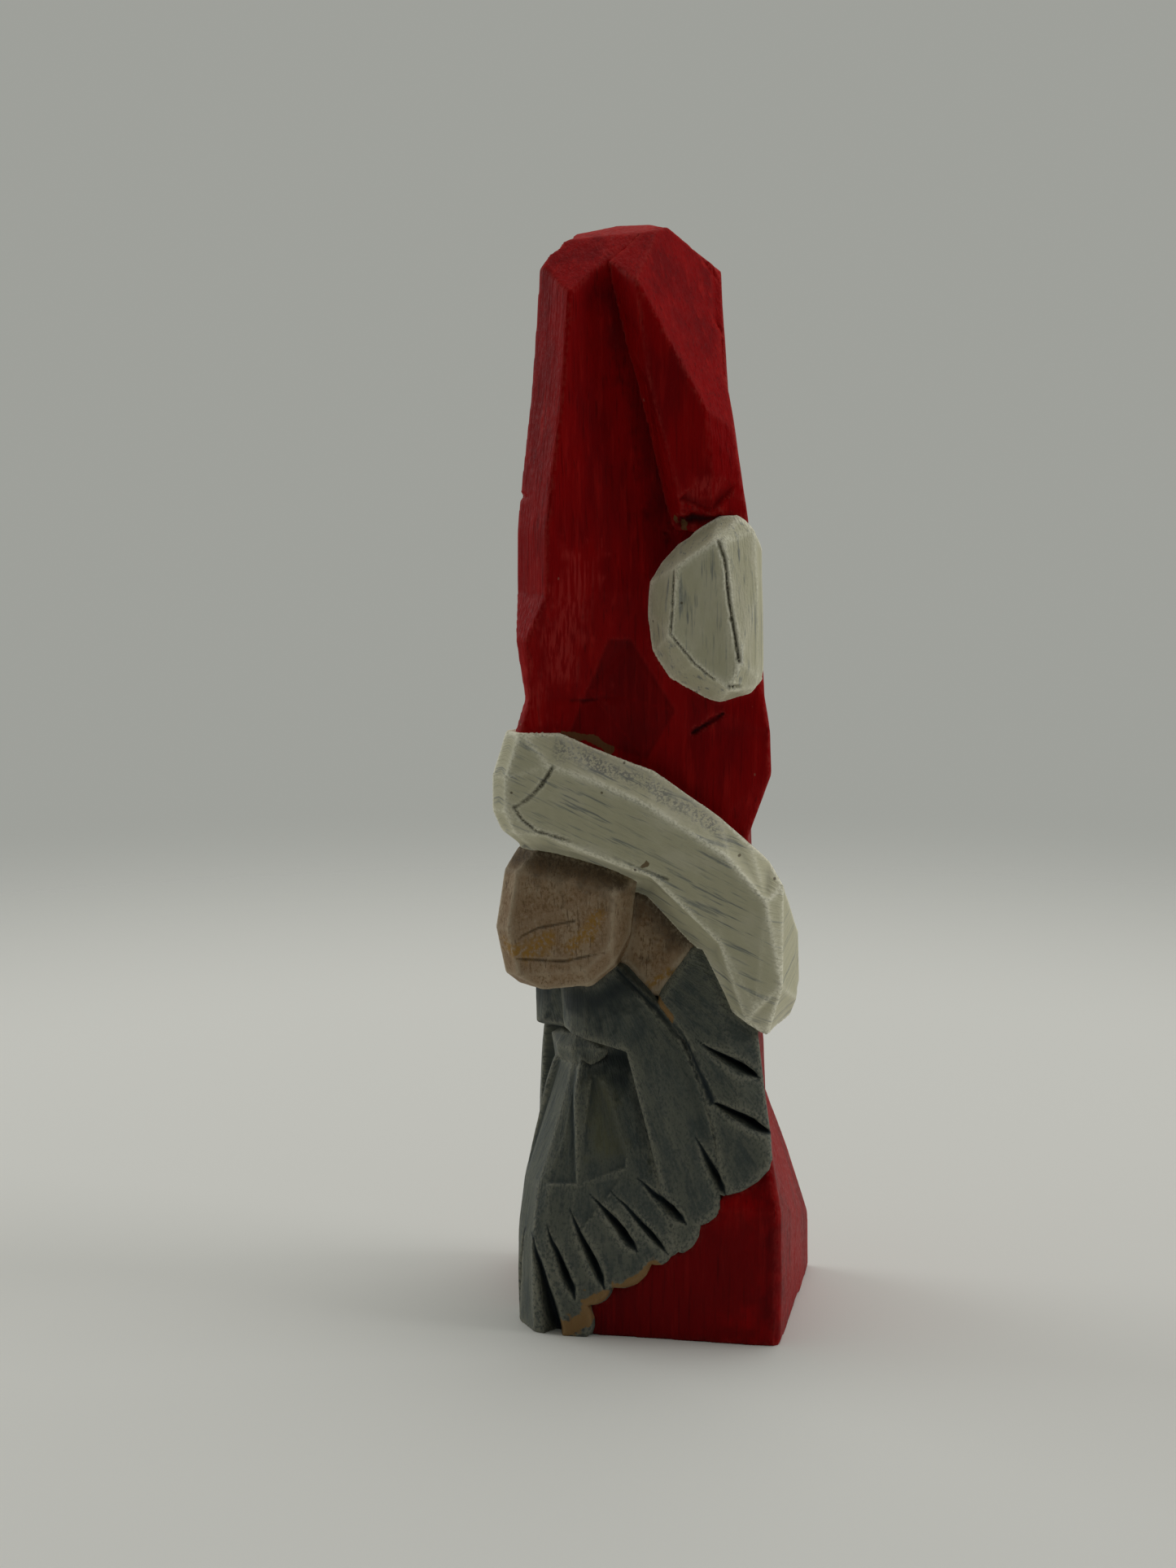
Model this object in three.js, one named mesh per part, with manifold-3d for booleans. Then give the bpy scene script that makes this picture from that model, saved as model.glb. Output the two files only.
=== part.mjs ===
// A tomte gnome, knife-carved in flat planes from one small block of basswood and painted.
// The block is carved "on the corner": its front corner edge carries the hat point, nose and beard.
// Millimetres, +Z up, the middle of the base at the origin, the nose along -Y, the figure's left at +X.
// Each carved and separately painted form is a solid of its own, with a thin clearance to its neighbours.
import * as THREE from 'three';
import { ConvexGeometry } from 'three/addons/geometries/ConvexGeometry.js';
import { mergeVertices } from 'three/addons/utils/BufferGeometryUtils.js';
import Module from 'manifold-3d';

const wasm = await Module();
wasm.setup();

// ---- driving dimensions ----
const HEIGHT = 101.6; // a four inch carving block
const BLOCK = 26; // side of the block
const GAP = 0.28; // clearance between neighbouring forms
const KNIFE = 160; // size of the slab that stands for a knife's flat cut

// ---- points ----
// A place on the block's front-left side: u runs along the face from its middle towards the left corner,
// depth is the distance from the axis, and z is the height.
const onFace = (u, depth, z) => [(depth + u) / Math.SQRT2, (u - depth) / Math.SQRT2, z];
const mirrored = (points) => points.map(([x, y, z]) => [-x, y, z]);
const bothSides = (points) => [...points, ...mirrored(points)];
// Below the brim the right side is whittled a little closer to the axis than the left.
const RIGHT_TRIM = 0.95;
const rightSide = (points) => points.map(([x, y, z]) => [-x * RIGHT_TRIM, y * RIGHT_TRIM, z]);

// ---- solids ----
function toSolid(geometry) {
  const bare = geometry.clone();
  bare.deleteAttribute('normal');
  bare.deleteAttribute('uv');
  const merged = mergeVertices(bare);
  return new wasm.Manifold(new wasm.Mesh({
    numProp: 3,
    vertProperties: new Float32Array(merged.attributes.position.array),
    triVerts: new Uint32Array(merged.index.array),
  }));
}

function toGeometry(solid) {
  const mesh = solid.getMesh();
  const geometry = new THREE.BufferGeometry();
  geometry.setAttribute('position', new THREE.BufferAttribute(mesh.vertProperties, 3));
  geometry.setIndex(new THREE.BufferAttribute(mesh.triVerts, 1));
  const faceted = geometry.toNonIndexed();
  faceted.computeVertexNormals();
  return faceted;
}

const hull = (points) => toSolid(new ConvexGeometry(points.map((point) => new THREE.Vector3(...point))));
const joined = (solids) => solids.reduce((whole, solid) => whole.add(solid));
const without = (solid, cutters) => cutters.reduce((rest, cutter) => rest.subtract(cutter), solid);

// The corners of a small box around each point, squared up to the block's faces.
function swollen(points) {
  const grown = [];
  for (const [x, y, z] of points) {
    for (const along of [-GAP, GAP]) {
      for (const outward of [-GAP, GAP]) {
        for (const up of [-GAP, GAP]) {
          const [dx, dy] = onFace(along, outward, 0);
          grown.push([x + dx, y + dy, z + up]);
        }
      }
    }
  }
  return grown;
}

// A form made of convex lumps, and the slightly larger room that its neighbours leave for it.
function lumps(...lists) {
  return {
    solid: joined(lists.map(hull)),
    room: joined(lists.map((points) => hull(swollen(points)))),
  };
}

const average = (values) => values.reduce((sum, value) => sum + value) / values.length;
const middleOf = (loop) => [0, 1, 2].map((axis) => average(loop.map((point) => point[axis])));

// A closed surface over level loops of points, lowest first, each counterclockwise from above.
function skin(loops) {
  const count = loops[0].length;
  const points = loops.flat();
  const at = (level, i) => level * count + (i % count);
  const reach = (a, b) => Math.hypot(points[a][0] + points[b][0], points[a][1] + points[b][1]);
  const faces = [];
  for (let level = 0; level < loops.length - 1; level += 1) {
    for (let i = 0; i < count; i += 1) {
      const [a, b, c, d] = [at(level, i), at(level, i + 1), at(level + 1, i + 1), at(level + 1, i)];
      const ridge = reach(a, c) >= reach(b, d);
      faces.push(...(ridge ? [a, b, c, a, c, d] : [a, b, d, b, c, d]));
    }
  }
  const bottom = points.push(middleOf(loops[0])) - 1;
  const top = points.push(middleOf(loops.at(-1))) - 1;
  for (let i = 0; i < count; i += 1) {
    faces.push(bottom, at(0, i + 1), at(0, i));
    faces.push(top, at(loops.length - 1, i), at(loops.length - 1, i + 1));
  }
  const geometry = new THREE.BufferGeometry();
  geometry.setAttribute('position', new THREE.Float32BufferAttribute(points.flat(), 3));
  geometry.setIndex(faces);
  return toSolid(geometry);
}

// A loop from its left half, front to back; the right half is its mirror image.
const evenLoop = (half) => [...half, ...mirrored(half).reverse()];
const level = (z, half) => evenLoop(half.map(([x, y]) => [x, y, z]));
// The same, with the right half trimmed.
function bodyLevel(z, half) {
  const left = half.map(([x, y]) => [x, y, z]);
  return [...left, ...rightSide(left).reverse()];
}

// The same loops, pushed outwards from their own middles by the clearance.
const SLANT = 1.4; // faces that lie askew to the push need a longer one
function roomAround(loops) {
  return skin(loops.map((loop, i) => {
    const [middleX, middleY] = middleOf(loop);
    const lift = i === 0 ? -GAP : i === loops.length - 1 ? GAP : 0;
    return loop.map(([x, y, z]) => {
      const swell = 1 + (GAP * SLANT) / Math.hypot(x - middleX, y - middleY);
      return [middleX + (x - middleX) * swell, middleY + (y - middleY) * swell, z + lift];
    });
  }));
}

// One flat knife cut through a point, taking away all that lies on the normal's side.
function knifeSlab(through, normal) {
  const slab = new THREE.BoxGeometry(KNIFE, KNIFE, KNIFE);
  const direction = new THREE.Vector3(...normal).normalize();
  slab.translate(0, 0, KNIFE / 2);
  slab.applyQuaternion(new THREE.Quaternion().setFromUnitVectors(new THREE.Vector3(0, 0, 1), direction));
  slab.translate(...through);
  return toSolid(slab);
}

// ---- hat brim: a heavy roll of fur, high over the nose and drooping to the left and right corners ----
const BRIM_STATIONS = [ // front to back: [underside, lower edge, upper edge, hat line]
  [[1.0, -17.2, 47.3], [1.0, -18.2, 49.3], [1.0, -18.2, 52.4], [1.0, -16.6, 56.4]],
  [[2.6, -14.2, 46.0], [3.2, -15.4, 47.3], [3.4, -15.2, 53.5], [2.2, -13.2, 56.2]],
  [[5.2, -11.0, 44.6], [6.0, -12.3, 45.5], [6.4, -11.9, 52.1], [4.9, -9.8, 54.4]],
  [[8.8, -7.2, 42.8], [9.8, -8.5, 43.7], [9.8, -8.5, 50.0], [7.9, -6.6, 52.8]],
  [[12.8, -3.2, 36.6], [14.4, -4.0, 37.7], [14.8, -3.5, 45.5], [12.0, -2.2, 48.7]],
  [[15.6, -1.8, 30.2], [16.6, -1.6, 31.8], [17.2, -1.0, 41.6], [14.0, -0.2, 46.2]],
  [[16.0, 0.2, 29.0], [17.8, 0.4, 33.6], [16.9, 1.2, 42.8], [14.4, 1.6, 44.6]],
  [[8.0, 9.4, 28.0], [8.4, 9.9, 29.6], [8.9, 9.2, 37.2], [7.6, 8.0, 38.6]],
  [[2.4, 14.0, 28.0], [2.6, 15.0, 29.6], [2.6, 14.8, 34.6], [2.2, 13.0, 35.8]],
];
const brimLoops = [0, 1, 2, 3].map((row) => evenLoop(BRIM_STATIONS.map((station) => station[row])));
const brim = { solid: skin(brimLoops), room: roomAround(brimLoops) };
// The hat above and the body below meet inside the brim, either side of this sloping plane.
const BRIM_MIDDLE = [0, 0, 40.5];
const BRIM_SLOPE = [0, 0.53, 0.85];
const aboveBrim = knifeSlab(BRIM_MIDDLE, BRIM_SLOPE);
const belowBrim = knifeSlab(BRIM_MIDDLE, BRIM_SLOPE.map((part) => -part));

// ---- nose: the block's front corner, rounded off in flat facets ----
const nose = lumps(bothSides([
  [0.9, -16.9, 43.6], [0.9, -17.9, 38.4], [1.0, -16.8, 34.0], // front flat
  [2.6, -15.4, 42.4], [7.3, -10.7, 42.0], [7.0, -10.9, 37.0], // large facet, top
  [5.4, -12.6, 34.7], [1.4, -16.6, 35.2], // large facet, foot
  [1.8, -14.7, 32.6], [4.9, -11.8, 33.2], [6.5, -10.2, 35.2], // underside
  [7.4, -8.2, 42.8], [6.9, -8.6, 38.0], // side towards the cheek
  [1.6, -14.0, 46.4], [5.4, -9.4, 45.6], // top, under the brim
  [2.0, -6.0, 45.0], [2.0, -6.0, 34.0], // root
]));

// ---- cheeks: flats between nose, brim and beard ----
const cheekPoints = [
  onFace(-1.4, 9.2, 44.5), onFace(3.4, 9.2, 42.5), onFace(6.0, 9.4, 38.4), onFace(5.6, 9.6, 35.6),
  onFace(3.6, 9.8, 33.9), onFace(1.5, 9.7, 31.8), onFace(-3.2, 9.4, 34.6),
  onFace(-2.0, 6.0, 44.0), onFace(4.0, 6.0, 41.0), onFace(5.0, 6.0, 35.0),
  onFace(1.0, 6.0, 32.0), onFace(-3.0, 6.0, 34.6),
];

// ---- whiskers: moustache halves, side hair, lower lip and beard ----
const upperLobe = [
  [0.15, -11.6, 33.6], [0.15, -11.0, 28.3], [0.15, -8.0, 33.5], [0.15, -8.0, 28.5],
  onFace(-6.6, 10.3, 32.8), onFace(-6.6, 10.5, 28.3), onFace(-4.9, 11.5, 33.5), onFace(-5.3, 11.3, 28.0),
  onFace(-2.5, 10.8, 34.8), onFace(-1.4, 11.2, 26.9), onFace(1.3, 10.6, 30.9),
  onFace(-1.0, 7.0, 34.0), onFace(-1.0, 7.0, 27.5), onFace(1.5, 7.5, 30.9),
];
const wing = [
  onFace(-1.4, 11.2, 27.0), onFace(1.3, 10.6, 30.9), onFace(3.8, 10.7, 27.8), onFace(5.5, 10.9, 25.3),
  onFace(6.4, 11.4, 22.2), onFace(7.2, 12.4, 16.0), onFace(7.3, 12.9, 11.0), onFace(4.0, 12.9, 7.5),
  onFace(2.6, 12.3, 13.7), onFace(1.2, 11.8, 18.6), onFace(0.0, 11.5, 22.4),
  onFace(1.8, 12.0, 23.1), onFace(3.0, 12.4, 19.0),
  onFace(-1.0, 8.0, 27.0), onFace(3.8, 8.0, 27.8), onFace(0.0, 8.0, 22.4), onFace(6.0, 8.5, 22.0),
  onFace(2.6, 8.5, 13.7), onFace(5.4, 9.5, 9.0),
];
const sideHair = [
  onFace(5.6, 9.7, 37.8), onFace(3.7, 9.9, 34.4), onFace(1.8, 10.0, 32.3), onFace(1.3, 10.5, 30.9),
  onFace(3.8, 10.6, 27.8), onFace(6.5, 11.3, 22.2), onFace(7.0, 12.2, 17.0), onFace(7.4, 12.9, 12.4),
  onFace(10.0, 12.9, 13.6), onFace(12.3, 12.9, 16.4), onFace(11.9, 12.0, 20.0), onFace(11.1, 11.2, 24.6),
  onFace(10.3, 10.6, 28.6), onFace(10.2, 10.5, 31.4), onFace(8.0, 10.2, 36.0),
  onFace(7.2, 11.3, 31.0), onFace(8.2, 11.8, 27.5), onFace(9.2, 12.4, 22.5),
  onFace(5.6, 6.5, 37.0), onFace(1.8, 7.0, 32.0), onFace(3.8, 8.0, 27.8), onFace(7.4, 9.0, 13.4),
  onFace(8.6, 8.6, 29.0), onFace(10.0, 10.0, 20.0), onFace(10.9, 10.9, 16.6),
];
const lip = lumps(bothSides([
  [1.1, -10.9, 26.2], [1.0, -10.3, 27.5], [1.2, -10.6, 25.0], [3.8, -9.6, 26.7], [2.8, -9.9, 25.0],
  [3.4, -8.0, 27.2], [3.2, -8.0, 25.0],
]));

const beardLoops = [
  [0, [[1.6, -15.6], [3.3, -14.8], onFace(-5.5, 12.9), onFace(5.5, 12.9), [9.5, -2.5]]],
  [9, [[1.5, -15.6], [2.8, -15.0], onFace(-5.0, 12.9), onFace(5.5, 12.9), [9.5, -2.5]]],
  [13.7, [[1.3, -14.9], [2.5, -14.5], onFace(-5.8, 12.3), onFace(4.2, 12.1), [9.0, -2.5]]],
  [18.6, [[1.2, -12.9], [2.2, -12.5], onFace(-6.0, 11.1), onFace(3.0, 11.0), [8.0, -2.5]]],
  [22.4, [[1.1, -11.5], [1.8, -11.3], onFace(-6.3, 10.2), onFace(1.5, 10.2), [7.0, -3.0]]],
  [26.0, [[1.0, -10.4], [1.6, -10.3], onFace(-6.0, 9.0), onFace(0.0, 9.2), [6.0, -3.5]]],
  [28.2, [[1.0, -9.8], [1.5, -9.7], onFace(-5.8, 8.6), onFace(0.0, 9.0), [6.0, -3.5]]],
].map(([z, half]) => bodyLevel(z, half));

// The beard's lower edge, as [u, z] along the front-left face from the base up to the left corner:
// the notches between the locks, with each lock's tip bulging below the line between them.
const NOTCHES = [
  [-5.8, -1], [-4.9, 3.1], [-2.7, 4.9], [0.9, 7.4], [2.8, 8.3], [5.4, 11.3], [7.4, 14.1], [12.6, 18.6],
];
const LOCK_LENGTH = 2.4; // of the run between two notches of a common lock
const LOCK_BULGE = 1.0; // of its tip, and at most twice that on the long locks
function underBeard(drop = 0) {
  const outline = new THREE.Shape();
  outline.moveTo(...NOTCHES[0]);
  for (let i = 1; i < NOTCHES.length; i += 1) {
    const [[u0, z0], [u1, z1]] = [NOTCHES[i - 1], NOTCHES[i]];
    const length = Math.hypot(u1 - u0, z1 - z0);
    const bulge = LOCK_BULGE * Math.min(2, length / LOCK_LENGTH);
    const tipU = (u0 + u1) / 2 + ((z1 - z0) / length) * bulge;
    const tipZ = (z0 + z1) / 2 - ((u1 - u0) / length) * bulge;
    outline.quadraticCurveTo(tipU, tipZ, u1, z1);
  }
  outline.lineTo(BLOCK, NOTCHES.at(-1)[1]);
  outline.lineTo(BLOCK, NOTCHES[0][1]);
  const prism = new THREE.ExtrudeGeometry(outline, { depth: BLOCK, bevelEnabled: false, curveSegments: 4 });
  const alongFace = new THREE.Vector3(...onFace(1, 0, 0));
  const outward = new THREE.Vector3(...onFace(0, 1, 0));
  prism.applyMatrix4(new THREE.Matrix4().makeBasis(alongFace, new THREE.Vector3(0, 0, 1), outward));
  prism.translate(...onFace(drop, 0, -drop));
  return toSolid(prism);
}

// A groove cut with a V-tool: [u, z, depth of the surface] at its start and end, widest past its middle.
const DEEPEST = 0.7;
function groove([u0, z0, d0], [u1, z1, d1], width, depth) {
  const length = Math.hypot(u1 - u0, z1 - z0);
  const [acrossU, acrossZ] = [(z0 - z1) / length, (u1 - u0) / length];
  const at = (t, side, out) => onFace(
    u0 + (u1 - u0) * t + acrossU * side,
    d0 + (d1 - d0) * t + out,
    z0 + (z1 - z0) * t + acrossZ * side,
  );
  const flare = width / 2 + width / 2 / depth;
  return [
    at(0, 0, 0), at(0, 0, 1), at(1, 0, 0), at(1, 0, 1), at(DEEPEST, 0, -depth),
    at(DEEPEST, -width / 2, 0), at(DEEPEST, width / 2, 0), at(DEEPEST, -flare, 1), at(DEEPEST, flare, 1),
  ];
}
const GROOVES = [ // start, end, width, depth
  [[5.1, 28.0, 11.3], [10.9, 25.0, 11.2], 0.9, 0.8],
  [[6.4, 22.8, 11.5], [12.0, 20.0, 12.1], 1.0, 0.9],
  [[5.1, 19.3, 12.2], [7.9, 14.0, 12.8], 1.1, 0.9],
  [[-0.2, 15.0, 12.2], [4.3, 11.3, 12.9], 1.2, 1.1],
  [[-2.5, 13.8, 12.5], [2.7, 8.3, 12.9], 0.9, 0.7],
  [[-4.5, 13.4, 12.4], [-0.2, 8.6, 12.9], 1.2, 1.1],
  [[-6.5, 11.9, 12.7], [-3.2, 4.8, 12.9], 1.1, 1.0],
  [[-8.6, 10.3, 12.9], [-6.2, 3.8, 12.9], 1.2, 1.1],
  [[-10.0, 9.2, 12.3], [-7.4, -3.6, 12.7], 1.8, 1.7],
];
const grooves = GROOVES.map((cut) => groove(...cut));
// The mirror image of a solid, with each triangle's corners turned round so that it still faces out.
function reflect(solid) {
  const geometry = toGeometry(solid);
  const positions = geometry.attributes.position;
  const corner = (i) => [-positions.getX(i), positions.getY(i), positions.getZ(i)];
  for (let i = 0; i < positions.count; i += 3) {
    const [a, b, c] = [corner(i), corner(i + 1), corner(i + 2)];
    [a, c, b].forEach((point, k) => positions.setXYZ(i + k, ...point));
  }
  return toSolid(geometry);
}
const fringeCut = underBeard();
const whiskerCuts = [...grooves, ...grooves.map(rightSide)].map(hull).concat(fringeCut, reflect(fringeCut));

// ---- hat: a tall cap, its point folded over to hang down the left side to the pompom ----
const hatLoops = [ // [height, half outline: front edge, facet ridge, fold, left corner, back]
  [33, [[0.8, -15.8], [1.8, -12.4], [5.0, -7.0], [9.6, -2.6], [12.6, 1.4], [3.2, 11.6]]],
  [42, [[0.8, -15.8], [1.8, -12.4], [5.0, -7.0], [9.6, -2.6], [11.8, 1.4], [3.2, 8.6]]],
  [46.5, [[0.8, -15.8], [1.8, -12.4], [5.2, -6.6], [9.3, -2.6], [11.7, 1.2], [3.2, 8.4]]],
  [52.5, [[0.6, -16.0], [1.8, -12.4], [5.0, -6.9], [9.4, -2.9], [13.9, 2.1], [3.4, 9.9]]],
  [56.2, [[0.5, -16.0], [1.8, -12.4], [4.9, -7.2], [9.3, -3.0], [13.8, 2.0], [3.4, 9.9]]],
  [59.3, [[0.4, -15.0], [2.7, -10.4], [5.2, -7.0], [9.6, -3.2], [13.3, 1.7], [3.3, 9.5]]],
  [64.6, [[0.8, -15.7], [3.9, -9.9], [5.3, -7.3], [9.8, -3.2], [13.1, 1.5], [3.0, 9.2]]],
  [68.8, [[2.3, -14.5], [4.2, -10.4], [6.2, -6.3], [9.8, -2.8], [12.9, 1.2], [2.6, 9.0]]],
  [74.5, [[2.3, -14.5], [4.5, -8.8], [6.9, -3.8], [9.4, -2.0], [12.6, 0.4], [2.3, 8.2]]],
  [79.4, [[2.3, -13.9], [4.0, -9.1], [6.1, -4.6], [9.0, -2.4], [12.0, -0.2], [2.0, 7.4]]],
  [86, [[2.4, -12.9], [3.3, -9.1], [4.9, -5.8], [8.2, -3.2], [10.8, -0.6], [1.7, 6.3]]],
  [92.5, [[2.4, -12.3], [2.7, -9.4], [3.7, -6.9], [7.5, -4.0], [10.4, -0.8], [1.6, 5.9]]],
  [97, [[2.3, -12.0], [2.3, -9.7], [2.9, -7.6], [7.0, -4.4], [10.2, -0.9], [1.5, 5.7]]],
  [104, [[2.2, -11.5], [2.0, -9.7], [2.2, -8.4], [6.6, -5.0], [9.8, -1.0], [1.5, 5.3]]],
].map(([z, half]) => level(z, half));

const tailLoops = [ // [height, outline: fold, ridge, left corner front and back, seam with the back, inside]
  [74.7, [[7.0, -3.7], [8.8, -4.2], [10.6, -2.8], [12.8, 0.2], [12.0, 0.9], [8.0, -0.4]]],
  [77, [[6.6, -4.2], [9.3, -4.7], [11.3, -2.8], [12.6, 0.0], [11.7, 0.7], [7.6, -0.6]]],
  [80, [[6.1, -4.7], [8.9, -5.3], [11.5, -3.0], [12.2, -0.4], [11.2, 0.5], [7.0, -1.0]]],
  [84, [[5.4, -5.3], [8.1, -6.1], [11.1, -3.3], [11.5, -0.7], [10.4, 0.3], [6.0, -1.5]]],
  [88, [[4.7, -6.1], [7.4, -6.9], [10.8, -3.5], [10.9, -1.0], [9.4, 0.2], [5.2, -2.0]]],
  [92, [[3.8, -6.9], [7.0, -7.2], [10.6, -3.6], [10.6, -1.0], [7.6, 1.4], [4.4, -2.6]]],
  [97, [[2.9, -7.7], [6.4, -7.7], [10.4, -3.7], [10.4, -1.0], [5.2, 3.0], [3.6, -3.0]]],
  [104, [[2.1, -8.4], [5.8, -8.4], [10.2, -4.0], [10.2, -1.0], [3.0, 4.4], [2.2, -3.4]]],
].map(([z, outline]) => outline.map(([x, y]) => [x, y, z]));

// The hat's tip is cut off in flats: [point on the flat, way it faces].
const FRONT_BEVEL = [[2.2, -11.8, 96.0], [0.385, -0.548, 0.741]];
const RIGHT_BEVEL = [[-2.3, -11.6, 98.0], [-0.5, -0.7, 0.6]];
const CORNER_BEVEL = [[6.4, -7.5, 97.0], [0.909, 0.106, 0.404]];
const BACK_BEVEL = [[3.9, -2.0, 101.3], [0.186, 0.557, 0.81]];
const TOP_FLAT = [[0, -1.4, HEIGHT], [0, -0.17, 0.98]];
const evenBevels = [CORNER_BEVEL, BACK_BEVEL];
const tipCuts = [FRONT_BEVEL, RIGHT_BEVEL, TOP_FLAT, ...evenBevels, ...evenBevels.map(mirrored)];
const tipSlabs = tipCuts.map((cut) => knifeSlab(...cut));
// A slip of the knife nicks the front edge of the hat, and another cuts a short slit over the brim.
const NICK_HEIGHT = 77.4;
const nick = hull([
  [-3.5, -13.1, NICK_HEIGHT], [-3.5, -15.8, NICK_HEIGHT + 1.6], [-3.5, -15.8, NICK_HEIGHT - 1.0],
  [-0.4, -14.1, NICK_HEIGHT], [-0.4, -15.0, NICK_HEIGHT + 0.4], [-0.4, -15.0, NICK_HEIGHT - 0.4],
]);
const slit = hull(groove([4.0, 56.2, 8.8], [7.2, 58.2, 8.9], 0.7, 1.0));
const hatCuts = [nick, slit, ...tipSlabs];

// ---- pompom: a whittled knob on the left corner, at the end of the hat's tail ----
const pompom = lumps([
  onFace(3.3, 12.1, 71.7), onFace(6.5, 12.3, 74.0), onFace(7.2, 12.3, 73.8), // front flat
  onFace(2.8, 12.2, 67.5), onFace(2.6, 12.1, 65.6), onFace(4.9, 12.3, 62.9), onFace(8.0, 12.4, 60.8),
  onFace(8.9, 12.3, 63.3),
  [14.1, 0.2, 69.4], [13.6, 0.2, 74.7], [14.1, 0.3, 61.6], [13.8, 0.3, 60.6], // left flat
  onFace(0.4, 9.1, 69.9), onFace(0.3, 9.0, 67.1), onFace(0.8, 9.0, 63.7), onFace(2.3, 9.1, 61.4),
  onFace(5.9, 9.3, 59.4), onFace(6.7, 9.3, 59.2), onFace(9.5, 9.2, 60.0), onFace(1.4, 9.1, 71.6),
  onFace(3.0, 9.1, 73.4), onFace(5.9, 9.2, 74.9), onFace(6.6, 9.4, 75.7),
  onFace(8.4, 9.4, 75.9), onFace(9.4, 9.4, 75.2),
  [12.3, 2.1, 73.0], [12.4, 2.3, 62.0], // back
  onFace(2.5, 6.5, 70.0), onFace(2.5, 6.5, 64.0), onFace(7.0, 6.5, 73.0), onFace(7.0, 6.5, 61.5), // root
]);

// ---- robe: the body of the block, cut back above the hem ----
const robeLoops = [ // [height, half outline: front, left corner, back]
  [0, [[1.5, -15.2], [18.0, -0.4], [18.0, 0.4], [0.7, 18.2]]],
  [5.5, [[1.5, -15.2], [18.1, -0.4], [18.1, 0.4], [0.7, 18.0]]],
  [12.7, [[1.5, -15.0], [18.1, -0.3], [18.1, 0.3], [0.8, 15.2]]],
  [19.5, [[1.2, -13.0], [16.1, -0.2], [16.1, 0.2], [1.6, 11.6]]],
  [28.5, [[1.2, -11.0], [13.9, -0.2], [13.9, 0.2], [2.8, 10.2]]],
  [38, [[1.0, -8.0], [10.5, -1.0], [10.5, 1.0], [2.8, 10.2]]],
  [60, [[1.0, -8.0], [8.5, -1.0], [8.5, 1.0], [2.8, 10.2]]],
].map(([z, half]) => bodyLevel(z, half));

// ---- cutting order: each form leaves room for the ones that stand in front of it ----
const moustacheLeft = lumps(upperLobe, wing);
const moustacheRight = lumps(rightSide(upperLobe), rightSide(wing));
const hairLeft = lumps(sideHair);
const hairRight = lumps(rightSide(sideHair));
const cheekLeft = lumps(cheekPoints);
const cheekRight = lumps(rightSide(cheekPoints));
const beard = { solid: skin(beardLoops), room: roomAround(beardLoops) };
const tail = { solid: skin(tailLoops), room: roomAround(tailLoops) };

const inFront = [nose.room, brim.room];
const overHair = [...inFront, moustacheLeft.room, moustacheRight.room];
const overCheeks = [...overHair, hairLeft.room, hairRight.room];
const overBeard = [...overCheeks, cheekLeft.room, cheekRight.room, lip.room];
// The robe makes way for all of them, down to the fringe.
const looseCut = underBeard(GAP);
const face = without(joined([...overBeard.slice(inFront.length), beard.room]), [looseCut, reflect(looseCut)]);

// The biggest piece of a solid, so that no loose chip stays behind.
const withoutChips = (solid) => solid.decompose().sort((a, b) => b.volume() - a.volume())[0];

const RED = { color: 0x8e1420, roughness: 0.55, metalness: 0 };
const CREAM = { color: 0xb9b7a4, roughness: 0.8, metalness: 0 };
const SKIN = { color: 0xa58672, roughness: 0.75, metalness: 0 };
const GREY = { color: 0x55605f, roughness: 0.7, metalness: 0 };

const forms = [
  ['robe_body', RED, without(skin(robeLoops), [aboveBrim, ...inFront, face])],
  ['beard', GREY, without(beard.solid, [...overBeard, ...whiskerCuts])],
  ['lower_lip', GREY, without(lip.solid, overHair)],
  ['moustache_left', GREY, without(moustacheLeft.solid, [...inFront, ...whiskerCuts])],
  ['moustache_right', GREY, without(moustacheRight.solid, [...inFront, ...whiskerCuts])],
  ['hair_left', GREY, without(hairLeft.solid, [...overHair, ...whiskerCuts])],
  ['hair_right', GREY, without(hairRight.solid, [...overHair, ...whiskerCuts])],
  ['cheek_left', SKIN, without(cheekLeft.solid, overCheeks)],
  ['cheek_right', SKIN, without(cheekRight.solid, overCheeks)],
  ['nose', SKIN, without(nose.solid, [brim.room])],
  ['hat_brim', CREAM, brim.solid],
  ['hat_cone', RED, without(skin(hatLoops), [belowBrim, brim.room, tail.room, pompom.room, ...hatCuts])],
  ['hat_tail', RED, without(tail.solid, [pompom.room, ...tipSlabs])],
  ['pompom', CREAM, pompom.solid],
];

const gnome = new THREE.Group();
for (const [name, finish, solid] of forms) {
  const mesh = new THREE.Mesh(toGeometry(withoutChips(solid)), new THREE.MeshStandardMaterial(finish));
  mesh.name = name;
  gnome.add(mesh);
}
export default gnome;
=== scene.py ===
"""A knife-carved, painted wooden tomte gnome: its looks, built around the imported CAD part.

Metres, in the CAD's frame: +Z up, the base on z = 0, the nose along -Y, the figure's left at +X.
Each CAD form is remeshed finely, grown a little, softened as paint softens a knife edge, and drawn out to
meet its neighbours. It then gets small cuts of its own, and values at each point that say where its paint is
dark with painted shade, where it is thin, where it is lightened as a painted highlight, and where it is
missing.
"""

import math

import bmesh
import bpy
import numpy as np
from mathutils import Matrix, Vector
from mathutils.bvhtree import BVHTree


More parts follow.
